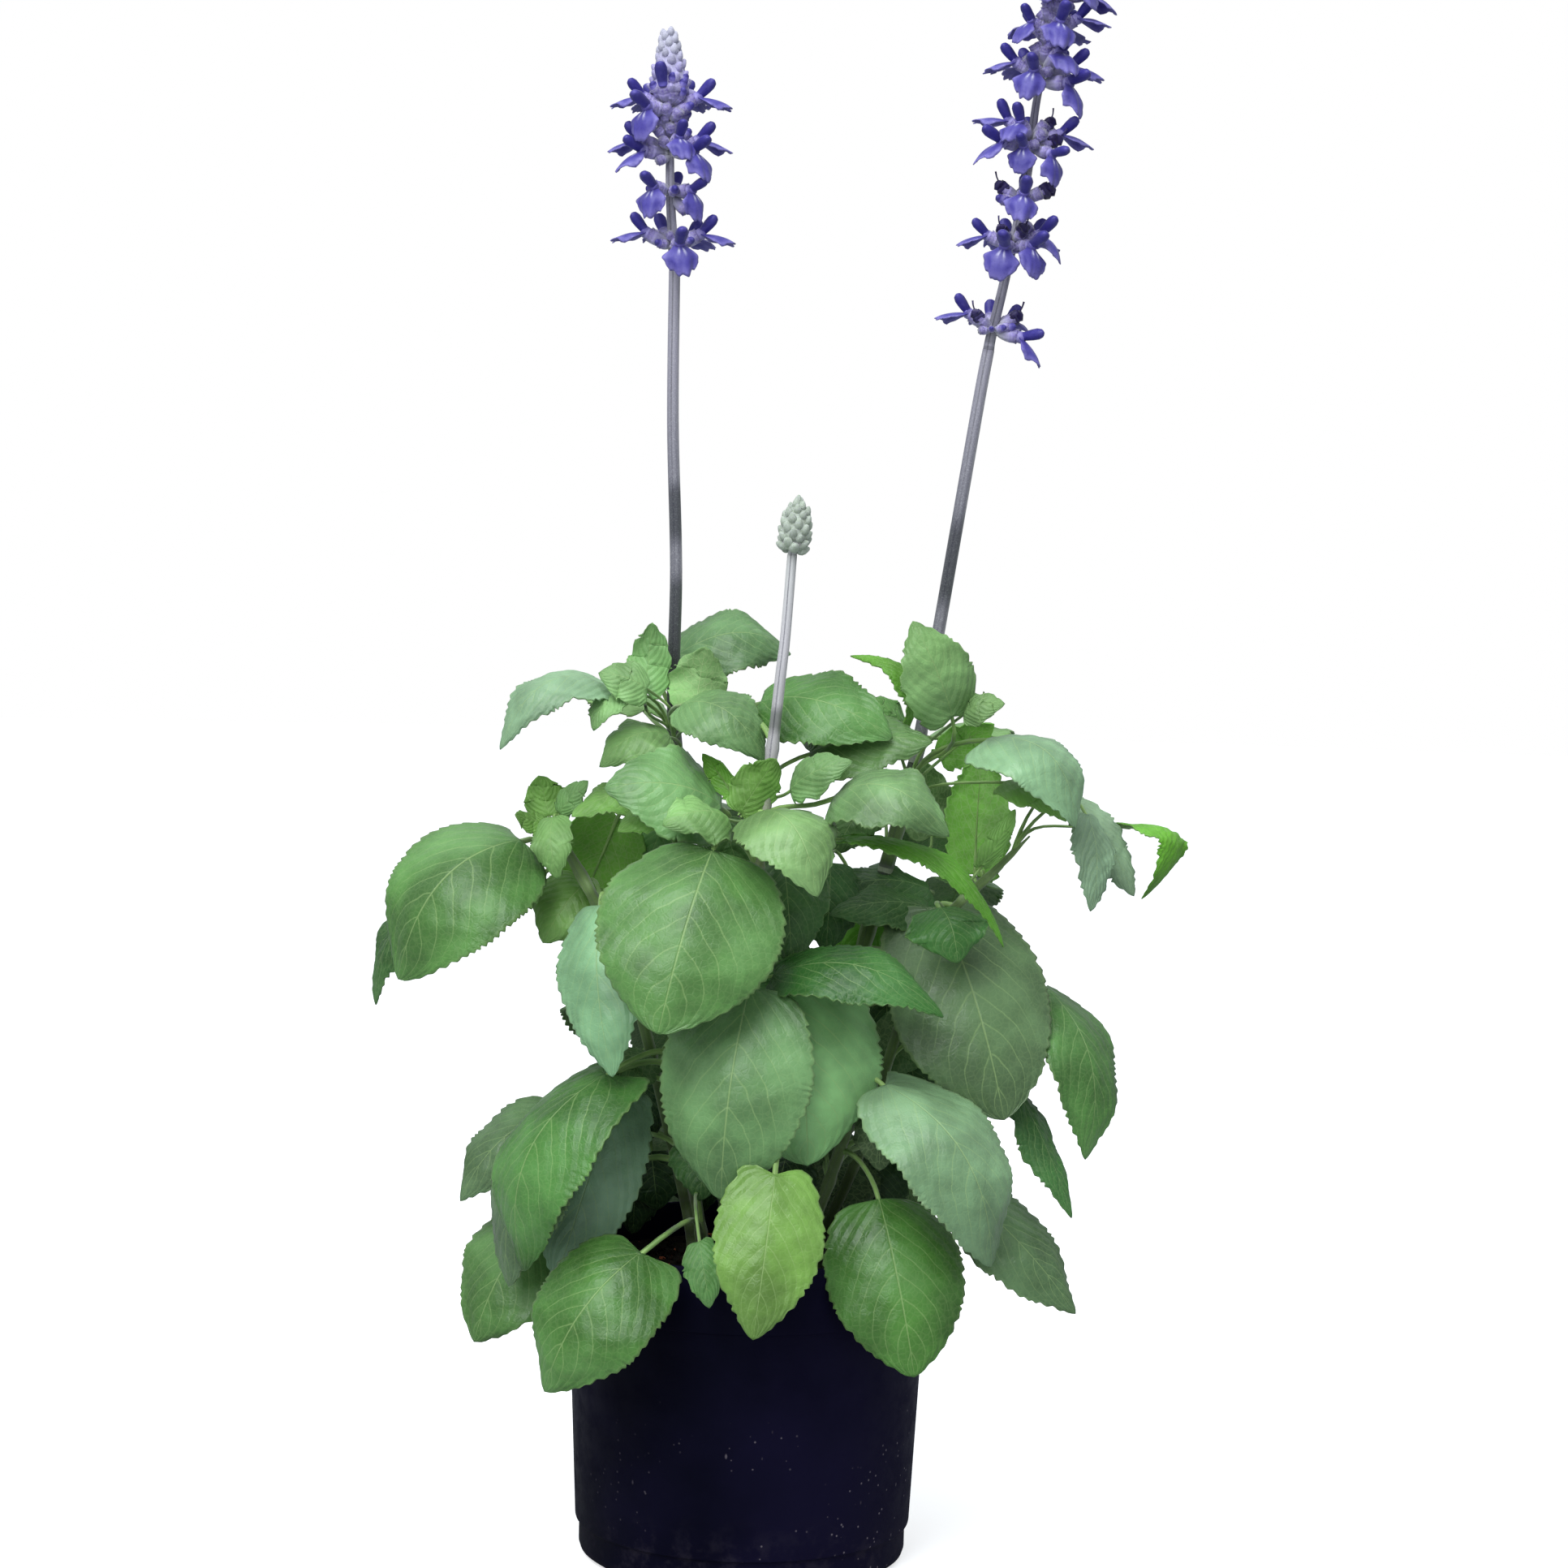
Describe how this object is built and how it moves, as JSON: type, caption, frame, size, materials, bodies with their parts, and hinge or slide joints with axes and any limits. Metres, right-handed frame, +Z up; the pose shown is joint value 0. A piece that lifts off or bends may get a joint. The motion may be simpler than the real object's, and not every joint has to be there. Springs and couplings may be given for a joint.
{
  "type": "potted salvia",
  "caption": "Potted flowering sage: broad toothed leaves on leafy stems, tall stalks ending in violet flower spikes and a bud, rooted in soil in a plain black nursery pot.",
  "frame": {"origin": "centre of the pot's flat base, on the surface it stands on", "axes": "+Z up along the pot's axis; the front that the picture shows looks along -Y; +X to the right in the picture"},
  "size_m": [0.2837, 0.2107, 0.5831],
  "materials": {
    "pot_plastic": "semi-matt moulded black plastic, dusty near the foot",
    "potting_soil": "dark moist crumbs with reddish grains",
    "leaf_green": "living leaf, soft sheen, lighter veins",
    "floret_violet": "velvety violet-blue petals",
    "bud_grey": "woolly grey-green bud"
  },
  "bodies": {
    "root": {"nursery_pot": "pot_plastic", "potting_soil": "potting_soil", "left_flowering_stem": "leaf_green", "centre_budding_stem": "leaf_green", "right_flowering_stem": "leaf_green", "left_side_shoot": "leaf_green", "right_side_shoot": "leaf_green", "low_left_shoot": "leaf_green", "low_right_shoot": "leaf_green", "rear_shoot": "leaf_green", "left_flower_spike": "floret_violet", "right_flower_spike": "floret_violet", "centre_flower_bud": "bud_grey"}
  },
  "joints": []
}
